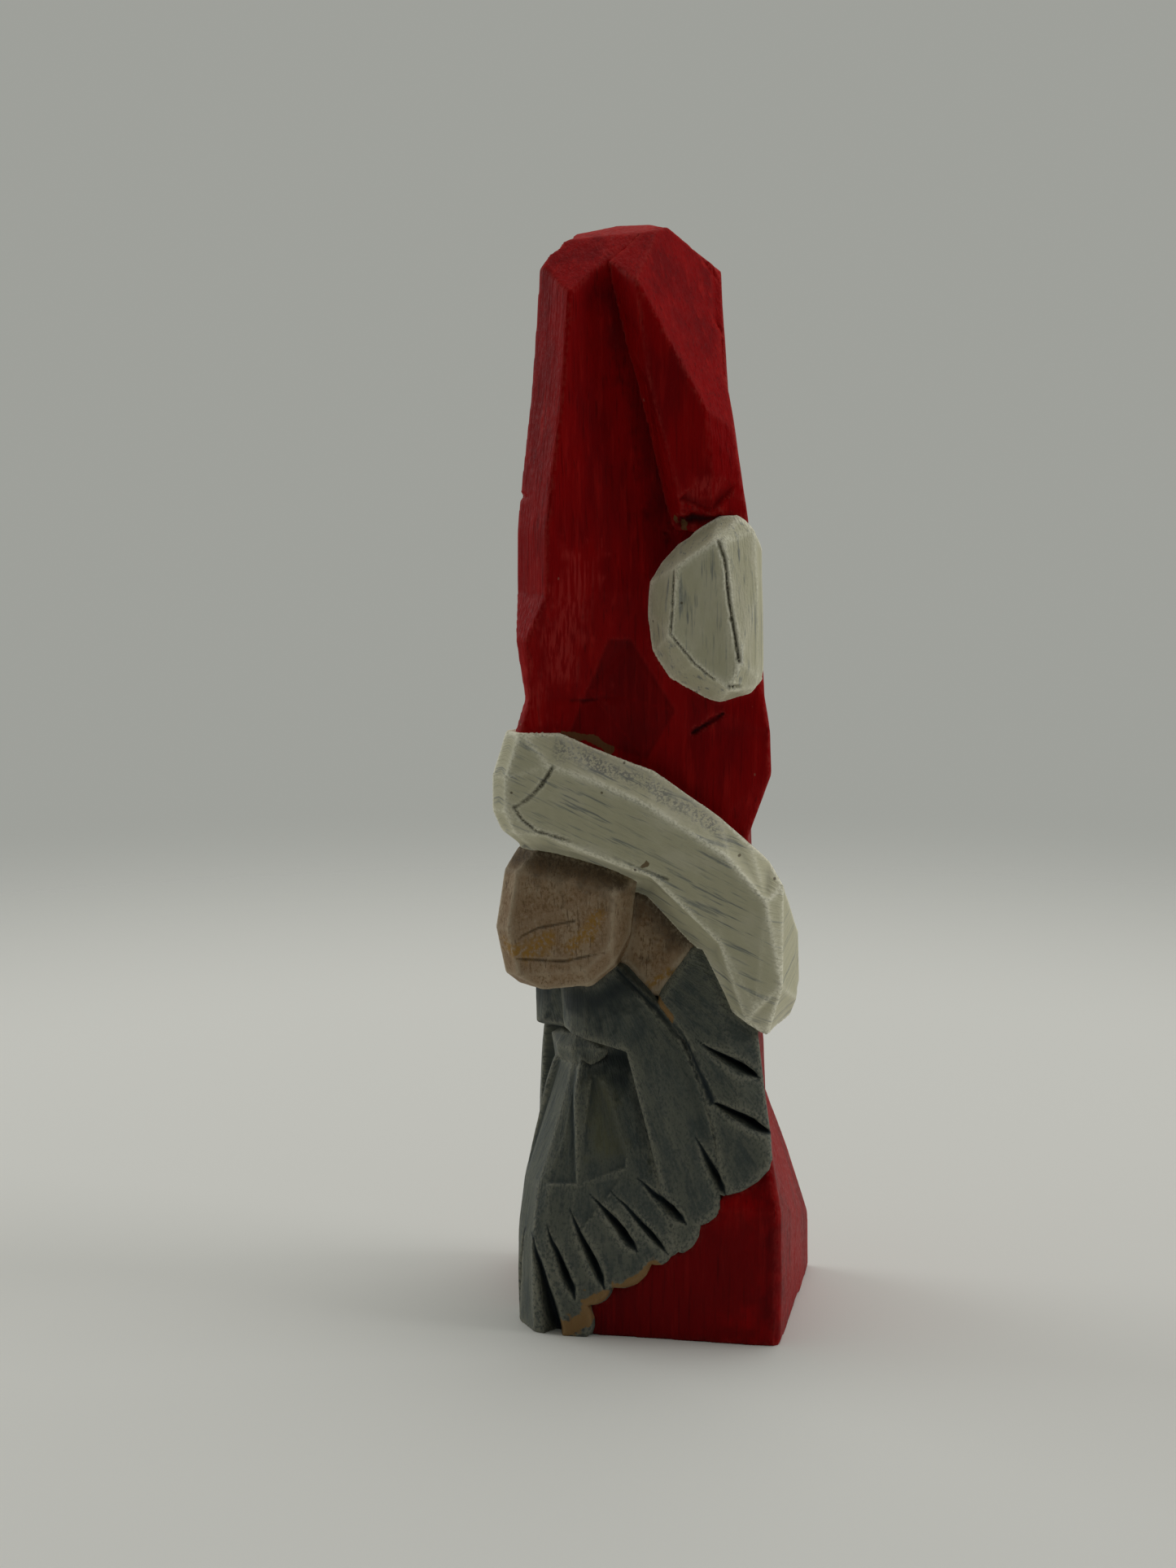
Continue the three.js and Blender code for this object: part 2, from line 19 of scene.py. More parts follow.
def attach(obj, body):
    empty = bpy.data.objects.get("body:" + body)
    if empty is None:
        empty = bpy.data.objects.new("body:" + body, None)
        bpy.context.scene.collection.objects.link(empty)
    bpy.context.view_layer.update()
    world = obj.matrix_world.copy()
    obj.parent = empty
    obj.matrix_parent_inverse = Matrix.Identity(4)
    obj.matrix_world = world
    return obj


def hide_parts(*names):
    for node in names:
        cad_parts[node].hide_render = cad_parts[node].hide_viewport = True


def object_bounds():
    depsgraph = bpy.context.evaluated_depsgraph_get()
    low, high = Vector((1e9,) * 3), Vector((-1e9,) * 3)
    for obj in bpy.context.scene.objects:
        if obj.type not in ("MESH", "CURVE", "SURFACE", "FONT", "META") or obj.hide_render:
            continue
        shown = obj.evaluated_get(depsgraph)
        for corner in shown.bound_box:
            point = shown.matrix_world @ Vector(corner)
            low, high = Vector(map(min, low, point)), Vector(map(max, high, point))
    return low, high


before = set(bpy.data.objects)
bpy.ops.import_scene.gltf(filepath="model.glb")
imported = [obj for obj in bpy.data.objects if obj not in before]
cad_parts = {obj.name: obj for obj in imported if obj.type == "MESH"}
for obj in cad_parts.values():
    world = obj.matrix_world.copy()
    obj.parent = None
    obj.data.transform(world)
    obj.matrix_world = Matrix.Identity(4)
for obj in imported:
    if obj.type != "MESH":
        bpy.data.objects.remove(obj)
cad_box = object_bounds()

MM = 0.001
ROOT_HALF = math.sqrt(0.5)
HEIGHT = cad_box[1].z - cad_box[0].z
CLEARANCE = 0.3 * MM  # between neighbouring CAD forms
WELD = 0.001 * MM  # CAD points closer than this are one point

PAINT_THICKNESS = 0.3 * CLEARANCE  # what each form grows by
EDGE_ROUNDING = 0.08 * MM  # how far the paint softens a knife edge
MEETING_REACH = 2.2 * CLEARANCE  # a form is drawn out to neighbours that are nearer than this
MEETING_OVERLAP = 0.16 * MM  # how far past the middle of the gap it is drawn
MEETING_BLUR = 0.12 * MM  # evens out how far neighbouring points are drawn
MEETING_GAIN = 1.5  # makes up for what that evening out takes away

FLAT_SIZE = np.array([2.6, 2.6, 6.0]) * MM  # of the knife's uneven flats, across, deep and high
FLAT_HEIGHT = 0.05 * MM
RIPPLE_SIZE = np.array([0.8, 0.8, 2.2]) * MM  # of the finer ripples on them
RIPPLE_HEIGHT = 0.35 * FLAT_HEIGHT
FACET_REACH = 2.5 * MM  # a paring cut leaves alone what is further than this from its plane
FACET_EDGE = 0.15 * MM  # half the width over which it fades out at its sides

# A ridge or hollow is what stands out from, or lies below, the average of its surroundings.
RELIEFS = {  # the radius of that average, and the height that counts as a full ridge
    "fine": (0.16 * MM, 0.045 * MM),
    "broad": (0.6 * MM, 0.2 * MM),
}


# ---- noise ----
def lattice(cells, seed):
    """A repeatable random value from 0 to 1 for each whole-numbered cell."""
    # the large numbers only scatter the bits
    mixed = cells[:, 0] * 374761393 + cells[:, 1] * 668265263 + cells[:, 2] * 2147483647 + seed * 1274126177
    mixed = (mixed ^ (mixed >> 13)) * 1274126177
    mixed = mixed ^ (mixed >> 16)
    return (mixed & 0xFFFF) / 0xFFFF


def noise(points, size, seed=0):
    """Smooth value noise from -1 to 1. size: the length of a cell, or three lengths, one for each axis."""
    scaled = points / np.asarray(size)
    low = np.floor(scaled).astype(np.int64)
    part = scaled - low
    part = part * part * (3 - 2 * part)
    total = np.zeros(len(points))
    for corner in np.ndindex(2, 2, 2):
        offset = np.array(corner)
        weight = np.prod(np.where(offset == 1, part, 1 - part), axis=1)
        total += weight * lattice(low + offset, seed)
    return total * 2 - 1


def fade(values, start, end):
    """0 at start, 1 at end, smooth between."""
    share = np.clip((values - start) / (end - start), 0, 1)
    return share * share * (3 - 2 * share)


# ---- objects and materials ----
def placed(name, data):
    """A new object in the scene, for a mesh, a light or a camera."""
    obj = bpy.data.objects.new(name, data)
    bpy.context.scene.collection.objects.link(obj)
    return obj


def principled(name):
    """A new material, and its shader."""
    material = bpy.data.materials.new(name)
    material.use_nodes = True
    return material, material.node_tree.nodes["Principled BSDF"]


# ---- carved pieces ----
class Carving:
    """The working mesh of one piece: its points, and their neighbours, as arrays. Lengths are in metres."""

    def __init__(self, obj, voxel):
        self.obj = obj
        self.voxel = voxel
        mesh = obj.data
        points = np.empty(len(mesh.vertices) * 3)
        mesh.vertices.foreach_get("co", points)
        self.points = points.reshape(-1, 3)
        edges = np.empty(len(mesh.edges) * 2, dtype=np.int64)
        mesh.edges.foreach_get("vertices", edges)
        edges = edges.reshape(-1, 2)
        both = np.concatenate([edges, edges[:, ::-1]])
        both = both[np.argsort(both[:, 0], kind="stable")]
        self.degree = np.bincount(both[:, 0], minlength=len(self.points))
        first = np.cumsum(self.degree) - self.degree
        place = np.arange(len(both)) - first[both[:, 0]]
        self.around = np.tile(np.arange(len(self.points))[:, None], (1, self.degree.max()))
        self.around[both[:, 0], place] = both[:, 1]
        self.spare = self.degree.max() - self.degree

    def neighbour_mean(self, values):
        """The mean of the neighbours' values. Rows with fewer neighbours are padded with their own point."""
        total = values[self.around].sum(axis=1) - self.spare[:, None] * values
        return total / self.degree[:, None]

    def blurred(self, values, radius):
        """Values averaged over about that radius."""
        rounds = max(1, round(4 * (radius / self.voxel) ** 2))
        for _ in range(rounds):
            values = (values + self.neighbour_mean(values)) / 2
        return values

    def store(self):
        """Gives the mesh the points as they are now."""
        self.obj.data.vertices.foreach_set("co", self.points.ravel())
        self.obj.data.update()

    def normals(self):
        """The direction out of the surface at each point."""
        self.store()
        values = np.empty(len(self.points) * 3)
        self.obj.data.vertex_normals.foreach_get("vector", values)
        return values.reshape(-1, 3)

    def push(self, amount):
        """Moves each point out along its normal."""
        self.points = self.points + self.normals() * np.asarray(amount).reshape(-1, 1)

    def facet(self, corners):
        """Pares off what stands proud between three places on it, in mm. Gives 1 there and 0 elsewhere."""
        corners = np.array(corners) * MM
        normal = np.cross(corners[1] - corners[0], corners[2] - corners[0])
        normal /= np.linalg.norm(normal)
        if normal[:2] @ corners.mean(axis=0)[:2] < 0:
            normal = -normal
        proud = (self.points - corners[0]) @ normal
        inside = np.abs(proud) < FACET_REACH
        for i in range(3):
            side = corners[(i + 1) % 3] - corners[i]
            inward = np.cross(normal, side) / np.linalg.norm(side)
            if inward @ (corners[(i + 2) % 3] - corners[i]) < 0:
                inward = -inward
            inside = inside * fade((self.points - corners[i]) @ inward, -FACET_EDGE, FACET_EDGE)
        self.points = self.points - (np.maximum(proud, 0) * inside)[:, None] * normal
        return inside

    def relief(self):
        """Marks the ridges and hollows, for the paint to be rubbed from, and to be darker in."""
        normals = self.normals()
        for name, (radius, full) in RELIEFS.items():
            proud = np.sum((self.points - self.blurred(self.points, radius)) * normals, axis=1) / full
            self.attribute(name + "_ridge", np.clip(proud, 0, 1))
            self.attribute(name + "_hollow", np.clip(-proud, 0, 1))

    def attribute(self, name, values):
        """Gives the mesh one value at each point, for its paint."""
        layer = self.obj.data.attributes.new(name, "FLOAT", "POINT")
        layer.data.foreach_set("value", values.astype(np.float32))

    def strokes(self, coordinates):
        """Gives the mesh the paint's own coordinates, in mm, the third one along the brush strokes."""
        layer = self.obj.data.attributes.new("strokes", "FLOAT_VECTOR", "POINT")
        layer.data.foreach_set("vector", coordinates.astype(np.float32).ravel())


def neighbour_tree(name):
    """A search tree over the surfaces of all the other CAD nodes."""
    points = []
    faces = []
    for other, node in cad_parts.items():
        if other != name:
            start = len(points)
            points.extend(vertex.co for vertex in node.data.vertices)
            faces.extend([start + i for i in face.vertices] for face in node.data.polygons)
    return BVHTree.FromPolygons(points, faces)


def close_gaps(carving, name):
    """Draws the surface out to meet the forms that lie a clearance away, so that the pieces look joined."""
    tree = neighbour_tree(name)
    moves = np.zeros_like(carving.points)
    for i, point in enumerate(carving.points.tolist()):
        place, _, _, gap = tree.find_nearest(point, MEETING_REACH)
        if gap:
            towards = (np.array(place) - point) / gap
            moves[i] = towards * (gap / 2 + MEETING_OVERLAP) * (1 - gap / MEETING_REACH)
    carving.points = carving.points + carving.blurred(moves, MEETING_BLUR) * MEETING_GAIN


def drop_crumbs(mesh):
    """Keeps a mesh's largest body only, without the loose voxels that thin edges leave behind."""
    work = bmesh.new()
    work.from_mesh(mesh)
    bodies = []
    found = set()
    for vertex in work.verts:
        if vertex not in found:
            found.add(vertex)
            body = [vertex]
            for member in body:
                joined = [edge.other_vert(member) for edge in member.link_edges]
                fresh = [other for other in joined if other not in found]
                found.update(fresh)
                body.extend(fresh)
            bodies.append(body)
    bodies.sort(key=len)
    for body in bodies[:-1]:
        bmesh.ops.delete(work, geom=body, context="VERTS")
    work.to_mesh(mesh)
    work.free()


def remeshed(name, voxel):
    """A fine, even copy of a CAD node's mesh, as a new object of its own."""
    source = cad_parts[name].data
    mesh = source.copy()
    mesh.materials.clear()
    work = bmesh.new()
    work.from_mesh(mesh)
    bmesh.ops.remove_doubles(work, verts=work.verts, dist=WELD)
    work.to_mesh(mesh)
    work.free()
    obj = placed("carved_" + name, mesh)
    voxels = obj.modifiers.new("voxels", "REMESH")
    voxels.mode = "VOXEL"
    voxels.voxel_size = voxel
    evaluated = obj.evaluated_get(bpy.context.evaluated_depsgraph_get())
    fine = bpy.data.meshes.new_from_object(evaluated)
    obj.modifiers.clear()
    drop_crumbs(fine)
    obj.data = fine
    fine.shade_smooth()
    return obj


def distance_to_path(points, path):
    """Distance from each point to a polyline."""
    nearest = np.full(len(points), np.inf)
    for start, end in zip(path, path[1:]):
        step = end - start
        share = np.clip((points - start) @ step / (step @ step), 0, 1)
        reach = np.linalg.norm(points - start - share[:, None] * step, axis=1)
        nearest = np.minimum(nearest, reach)
    return nearest


def patches(points, places, soft=0.7):
    """1 inside the ragged patches round some paths, 0 outside.

    places: (path in mm, width in mm) of each. soft: the share of the width over which they fade out.
    """
    ragged = 1 + 0.6 * noise(points, 1.1 * MM, seed=7) + 0.35 * noise(points, 0.35 * MM, seed=8)
    inside = np.zeros(len(points))
    for path, width in places:
        reach = distance_to_path(points, np.array(path) * MM)
        inside = np.maximum(inside, 1 - fade(reach * ragged, (1 - soft) * width / 2 * MM, width / 2 * MM))
    return inside


def cut(carving, path, width, depth):
    """Makes a ragged cut along a path, in mm. Says from 0 to 1 how far down in it each point lies."""
    reach = distance_to_path(carving.points, np.array(path) * MM)
    ragged = 1 + 0.4 * noise(carving.points, 0.45 * MM, seed=5)
    profile = 1 - fade(reach * ragged, 0, width / 2 * MM)
    carving.push(-depth * MM * profile)
    return profile


def carve(name, voxel, finish, brush=None, cuts=(), bare=(), worn_and_lit=(), detail=None):
    """Makes the visible piece for a CAD node, from voxels of that size in mm.

    brush: turns points into the paint's own coordinates, in mm, the third one along the strokes.
    cuts: (path in mm, width in mm, depth in mm) of each small cut.
    detail: further knife work, which says from 0 to 1 how dark its painted shade leaves each point.
    bare, worn_and_lit: (path, width) of the places where the paint has missed the wood, and where it is thin;
    on the hat these are also painted highlights.
    """
    carving = Carving(remeshed(name, voxel * MM), voxel * MM)
    carving.push(PAINT_THICKNESS)
    carving.points = carving.blurred(carving.points, EDGE_ROUNDING)
    close_gaps(carving, name)
    flats = noise(carving.points, FLAT_SIZE, seed=1)
    ripples = noise(carving.points, RIPPLE_SIZE, seed=2)
    carving.push(flats * FLAT_HEIGHT + ripples * RIPPLE_HEIGHT)
    # painted shade: the detail and the cuts darken the paint where shade falls, in cuts, creases and grooves
    # and below overhangs
    painted_shade = detail(carving) if detail else np.zeros(len(carving.points))
    for path, width, depth in cuts:
        painted_shade = np.maximum(painted_shade, cut(carving, path, width, depth))
    carving.points[:, 2] = np.maximum(carving.points[:, 2], 0)
    carving.relief()
    carving.attribute("painted_shade", painted_shade)
    carving.attribute("bare", patches(carving.points, bare))
    carving.attribute("worn_and_lit", patches(carving.points, worn_and_lit, soft=0.9))
    carving.strokes(brush(carving.points / MM) if brush else carving.points / MM)
    carving.store()
    obj = carving.obj
    obj.data.materials.append(finish.material)
    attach(obj, "root")
    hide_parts(name)


# ---- finishes ----
# The Mix node's sockets for colours share their names with others, so they go by number.
MIX_AMOUNT = 0
MIX_UNDER = 6
MIX_OVER = 7
MIX_RESULT = 2


class Finish:
    """A paint finish, built up as layers of colour over a base coat."""

    def __init__(self, slot, base, specular):
        self.slot = slot
        self.material, self.shader = principled("carved_" + slot)
        self.tree = self.material.node_tree
        self.shader.inputs["Specular IOR Level"].default_value = specular
        self.strokes = self.add("Attribute", attribute_name="strokes").outputs["Vector"]
        self.colour = self.add("RGB").outputs[0]
        self.colour.default_value = (*base, 1)
        self.height = None

    def add(self, kind, sockets=None, **settings):
        """A new node, with its inputs linked or set, and its own settings."""
        node = self.tree.nodes.new("ShaderNode" + kind)
        for key, value in settings.items():
            setattr(node, key, value)
        for key, value in (sockets or {}).items():
            if isinstance(value, bpy.types.NodeSocket):
                self.tree.links.new(value, node.inputs[key])
            else:
                node.inputs[key].default_value = value
        return node

    def cells(self, size, shift):
        """The paint's own coordinates, counted in cells of that size across, deep and along, in mm."""
        scale = tuple(1 / length for length in size)
        sockets = {"Vector": self.strokes, "Location": (shift,) * 3, "Scale": scale}
        return self.add("Mapping", sockets).outputs[0]

    def noise(self, size, detail=3.0, shift=0.0):
        """Noise from 0 to 1, in cells of that size."""
        sockets = {"Vector": self.cells(size, shift), "Scale": 1.0, "Detail": detail, "Roughness": 0.6}
        return self.add("TexNoise", sockets).outputs[0]

    def specks(self, size, radius, shift=0.0):
        """One small speck in each cell of that size: 1 in its middle, 0 outside it."""
        sockets = {"Vector": self.cells(size, shift), "Scale": 1.0, "Randomness": 1.0}
        distance = self.add("TexVoronoi", sockets).outputs["Distance"]
        return self.between(distance, radius, radius * 0.5)

    def attribute(self, name):
        """What the carving says about each point."""
        return self.add("Attribute", attribute_name=name).outputs["Fac"]

    def between(self, value, start, end, low=0.0, high=1.0):
        """low where value is at start, high where it is at end, smooth between."""
        sockets = {"Value": value, "From Min": start, "From Max": end, "To Min": low, "To Max": high}
        return self.add("MapRange", sockets, interpolation_type="SMOOTHSTEP").outputs[0]

    def times(self, a, b):
        return self.add("Math", {0: a, 1: b}, operation="MULTIPLY", use_clamp=True).outputs[0]

    def plus(self, a, b):
        return self.add("Math", {0: a, 1: b}, operation="ADD", use_clamp=True).outputs[0]

    def coat(self, colour, amount):
        """Brushes a colour over what is there, by an amount from 0 to 1."""
        sockets = {MIX_AMOUNT: amount, MIX_UNDER: self.colour, MIX_OVER: (*colour, 1)}
        mix = self.add("Mix", sockets, data_type="RGBA")
        self.colour = mix.outputs[MIX_RESULT]

    def emboss(self, value, height):
        """Raises the surface by a share of a height, in mm."""
        bump = self.add("Bump", {"Height": value, "Strength": 1.0, "Distance": height * MM})
        if self.height:
            self.tree.links.new(self.height, bump.inputs["Normal"])
        self.height = bump.outputs[0]

    def done(self, roughness):
        """Gives the shader the layers' colour, relief and roughness."""
        self.tree.links.new(self.colour, self.shader.inputs["Base Color"])
        self.tree.links.new(self.height, self.shader.inputs["Normal"])
        self.tree.links.new(roughness, self.shader.inputs["Roughness"])
        return self


def red_paint():
    """Crimson paint in thin streaks along the grain, rubbed pale on the ridges."""
    crimson = (0.31, 0.0010, 0.0020)
    deep_crimson = (0.17, 0.0007, 0.0026)
    scarlet = (0.44, 0.010, 0.008)
    dark_grain = (0.10, 0.0005, 0.0015)
    thin_and_lit_red = (0.52, 0.034, 0.030)
    rubbed_red = (0.44, 0.050, 0.040)
    hollow_red = (0.06, 0.0008, 0.002)
    shade_dark = (0.014, 0.001, 0.002)
    dust_pink = (0.42, 0.22, 0.16)
    bare_wood = (0.16, 0.085, 0.034)
    paint = Finish("red_paint", crimson, specular=0.06)
    grain = paint.noise((0.24, 0.24, 6.0))
    streaks = paint.noise((0.8, 0.8, 9.0), shift=7)
    broad = paint.noise((4.0, 4.0, 12.0), shift=3)
    mottle = paint.noise((0.35, 0.35, 0.5), shift=11)
    paint.coat(deep_crimson, paint.between(broad, 0.42, 0.66, 0, 0.7))
    paint.coat(scarlet, paint.between(streaks, 0.52, 0.72, 0, 0.6))
    paint.coat(dark_grain, paint.between(grain, 0.54, 0.72, 0, 0.6))
    # pale red where the paint is thin, which on the hat's top, front strip and tail flat is also a painted
    # highlight
    worn_and_lit = paint.times(paint.attribute("worn_and_lit"), paint.between(grain, 0.40, 0.60))
    paint.coat(thin_and_lit_red, paint.times(worn_and_lit, 0.65))
    ridge = paint.times(paint.attribute("fine_ridge"), paint.between(mottle, 0.40, 0.62))
    paint.coat(rubbed_red, paint.times(ridge, 0.55))
    # darker in the broad hollows
    paint.coat(hollow_red, paint.times(paint.attribute("broad_hollow"), 0.7))
    # painted shade, nearly black, in the cuts and creases, beside the fold, on the shaded flats and on the
    # robe's front
    paint.coat(shade_dark, paint.times(paint.attribute("painted_shade"), 0.85))
    dust = paint.specks((3.1, 3.1, 4.4), 0.05)
    paint.coat(dust_pink, paint.times(dust, 0.4))
    bare = paint.between(paint.plus(paint.attribute("bare"), paint.times(mottle, 0.5)), 0.80, 1.0)
    paint.coat(bare_wood, paint.times(bare, 0.85))
    paint.emboss(grain, 0.06)
    paint.emboss(streaks, 0.10)
    paint.emboss(mottle, 0.02)
    return paint.done(paint.between(mottle, 0.3, 0.7, 0.42, 0.62))


def cream_paint():
    """Cream paint in bristly streaks, with the blue-grey undercoat showing where it is thin."""
    cream = (0.55, 0.525, 0.36)
    pale_cream = (0.62, 0.59, 0.435)
    blue_grey = (0.215, 0.23, 0.215)
    bristle_grey = (0.26, 0.265, 0.225)
    sanded_grey = (0.22, 0.22, 0.21)
    ridge_cream = (0.90, 0.87, 0.70)
    hollow_grey = (0.17, 0.165, 0.13)
    shade_dark = (0.035, 0.030, 0.020)
    pit_brown = (0.10, 0.075, 0.045)
    bare_wood = (0.16, 0.10, 0.045)
    paint = Finish("cream_paint", cream, specular=0.3)
    bristles = paint.noise((0.24, 0.24, 4.0))
    streaks = paint.noise((0.55, 0.55, 5.0), shift=5)
    broad = paint.noise((3.0, 3.0, 5.0), shift=9)
    speckle = paint.noise((0.20, 0.20, 0.24), detail=2.0, shift=2)
    paint.coat(pale_cream, paint.between(broad, 0.45, 0.65, 0, 0.8))
    blue = paint.times(paint.between(streaks, 0.54, 0.66), paint.between(bristles, 0.40, 0.56))
    paint.coat(blue_grey, paint.times(blue, 0.85))
    paint.coat(bristle_grey, paint.between(bristles, 0.58, 0.72, 0, 0.55))
    sanded = paint.times(paint.attribute("worn_and_lit"), paint.between(speckle, 0.44, 0.60))
    paint.coat(sanded_grey, paint.times(sanded, 0.85))
    edge = paint.plus(paint.attribute("fine_ridge"), paint.times(paint.attribute("broad_ridge"), 0.7))
    paint.coat(ridge_cream, paint.times(edge, paint.between(speckle, 0.38, 0.56, 0.35, 1)))
    # darker in the broad hollows
    paint.coat(hollow_grey, paint.times(paint.attribute("broad_hollow"), 0.7))
    # painted shade in the cuts along the brim and the pompom
    paint.coat(shade_dark, paint.times(paint.attribute("painted_shade"), paint.between(speckle, 0.3, 0.5)))
    pits = paint.specks((2.9, 2.9, 2.9), 0.06, shift=4)
    paint.coat(pit_brown, paint.times(pits, 0.8))
    bare = paint.between(paint.plus(paint.attribute("bare"), paint.times(speckle, 0.5)), 0.80, 1.0)
    paint.coat(bare_wood, paint.times(bare, 0.9))
    paint.emboss(bristles, 0.10)
    paint.emboss(streaks, 0.10)
    paint.emboss(speckle, 0.04)
    return paint.done(paint.between(speckle, 0.3, 0.7, 0.65, 0.85))


def grey_paint():
    """Blue-grey paint for the whiskers, pale on the ridges, with painted shade nearly black in the grooves.
    """
    grey = (0.120, 0.130, 0.105)
    blue_grey = (0.068, 0.083, 0.077)
    dark_blue_grey = (0.050, 0.064, 0.064)
    pale_hair = (0.165, 0.170, 0.135)
    pale_mottle = (0.150, 0.155, 0.130)
    dark_mottle = (0.045, 0.055, 0.052)
    olive_grey = (0.155, 0.150, 0.075)
    ridge_grey = (0.25, 0.245, 0.19)
    hollow_grey = (0.018, 0.028, 0.034)
    groove_shade = (0.010, 0.018, 0.023)
    bare_wood = (0.31, 0.165, 0.050)
    paint = Finish("grey_paint", grey, specular=0.25)
    hairs = paint.noise((0.24, 0.24, 3.5))
    streaks = paint.noise((0.8, 0.8, 4.5), shift=5)
    broad = paint.noise((2.4, 2.4, 5.0), shift=8)
    mottle = paint.noise((0.28, 0.28, 0.32), shift=2)
    paint.coat(blue_grey, paint.between(broad, 0.44, 0.62, 0, 0.85))
    paint.coat(dark_blue_grey, paint.between(streaks, 0.52, 0.66, 0, 0.7))
    paint.coat(pale_hair, paint.between(hairs, 0.55, 0.72, 0, 0.5))
    paint.coat(pale_mottle, paint.between(mottle, 0.52, 0.66, 0, 0.4))
    paint.coat(dark_mottle, paint.between(mottle, 0.48, 0.36, 0, 0.5))
    olive = paint.times(paint.attribute("worn_and_lit"), paint.between(streaks, 0.35, 0.6, 0.4, 1))
    paint.coat(olive_grey, paint.times(olive, 0.6))
    edge = paint.plus(paint.attribute("fine_ridge"), paint.times(paint.attribute("broad_ridge"), 0.8))
    paint.coat(ridge_grey, paint.times(edge, paint.between(mottle, 0.38, 0.58, 0.1, 0.8)))
    # darker in the broad hollows
    paint.coat(hollow_grey, paint.times(paint.attribute("broad_hollow"), 0.85))
    # painted shade, nearly black, in the grooves and below the moustache and lip
    paint.coat(groove_shade, paint.times(paint.attribute("painted_shade"), 0.95))
    bare = paint.between(paint.plus(paint.attribute("bare"), paint.times(mottle, 0.6)), 0.70, 1.05)
    paint.coat(bare_wood, paint.times(bare, 0.85))
    paint.emboss(hairs, 0.08)
    paint.emboss(streaks, 0.12)
    paint.emboss(mottle, 0.04)
    return paint.done(paint.between(mottle, 0.3, 0.7, 0.58, 0.8))


def skin_stain():
    """Brown stain on bare wood for the face, which lets the pores show."""
    tan = (0.315, 0.205, 0.115)
    pale_tan = (0.40, 0.29, 0.18)
    dark_brown = (0.19, 0.11, 0.050)
    sand = (0.44, 0.34, 0.23)
    pore_brown = (0.10, 0.052, 0.022)
    ridge_sand = (0.50, 0.40, 0.28)
    ochre = (0.36, 0.190, 0.035)
    hollow_brown = (0.075, 0.045, 0.020)
    shade_brown = (0.040, 0.024, 0.011)
    stain = Finish("skin_stain", tan, specular=0.25)
    pores = stain.noise((0.17, 0.17, 1.2))
    broad = stain.noise((2.0, 2.0, 2.6), shift=6)
    mottle = stain.noise((0.30, 0.30, 0.36), detail=4.0, shift=3)
    stain.coat(pale_tan, stain.between(broad, 0.42, 0.60, 0, 0.9))
    stain.coat(dark_brown, stain.between(mottle, 0.50, 0.64, 0, 0.75))
    stain.coat(sand, stain.between(mottle, 0.44, 0.34, 0, 0.6))
    dashes = stain.times(stain.between(pores, 0.55, 0.66), stain.between(broad, 0.35, 0.60, 0.4, 1))
    stain.coat(pore_brown, stain.times(dashes, 0.75))
    edge = stain.plus(stain.attribute("fine_ridge"), stain.times(stain.attribute("broad_ridge"), 0.7))
    stain.coat(ridge_sand, stain.times(edge, stain.between(mottle, 0.35, 0.6, 0.3, 0.9)))
    thin = stain.times(stain.attribute("worn_and_lit"), stain.between(mottle, 0.36, 0.56))
    stain.coat(ochre, stain.times(thin, 0.9))
    # darker in the broad hollows
    stain.coat(hollow_brown, stain.times(stain.attribute("broad_hollow"), 0.8))
    shade = stain.times(stain.attribute("painted_shade"), stain.between(mottle, 0.65, 0.40, 0.6, 0.95))
    stain.coat(shade_brown, shade)
    stain.emboss(pores, 0.09)
    stain.emboss(mottle, 0.09)
    return stain.done(stain.between(mottle, 0.3, 0.7, 0.6, 0.8))


CRIMSON = red_paint()
CREAM = cream_paint()
GREY = grey_paint()
SKIN = skin_stain()


# ---- directions of the brush strokes ----
def along_brim(points):
    """Strokes that run round the brim and down towards the block's corners."""
    slope = np.array([0.64, 0.64, -0.425])  # outwards, back and down, one long in all
    folded = np.column_stack([np.abs(points[:, 0]), points[:, 1], points[:, 2]])
    along = folded @ slope
    rest = folded - along[:, None] * slope
    return np.column_stack([rest[:, 0] + rest[:, 1], rest[:, 2], along])


def fanned(points):
    """Strokes that fan out from under the nose, as combed whiskers do."""
    middle_across = -9.0
    middle_height = 40.0
    usual_reach = 26.0
    across = np.abs(points[:, 0]) + points[:, 1] - middle_across
    drop = middle_height - points[:, 2]
    angle = np.arctan2(across, drop)
    reach = np.hypot(across, drop)
    return np.column_stack([angle * usual_reach, points[:, 0] - points[:, 1], reach])


# ---- the pieces ----
# Places on the surface are in mm. What lies on the figure's left is repeated on its right by mirrored().
RIGHT_SHARE = 0.95  # of the left side's distances, on the slimmer right side
FACE_LIMIT = 14  # |x| - y is more than this on the whiskers' outer faces
GROOVES = [  # [u, z] of the start and of the end, the width and the depth; comb() says what u is
    ([5.0, 28.2], [10.9, 24.9], 0.8, 0.6),
    ([6.4, 22.8], [12.2, 19.8], 0.9, 0.7),
    ([5.1, 19.3], [7.9, 14.0], 1.0, 0.8),
    ([-0.3, 15.1], [4.3, 11.2], 1.0, 0.8),
    ([-2.7, 14.0], [2.7, 8.3], 0.75, 0.5),
    ([-4.6, 13.6], [-0.2, 8.4], 1.0, 0.8),
    ([-6.6, 12.1], [-3.2, 4.8], 1.0, 0.8),
    ([-8.7, 10.5], [-6.0, 3.6], 1.1, 0.9),
    ([-10.2, 9.4], [-7.3, -1.0], 1.6, 1.4),
]


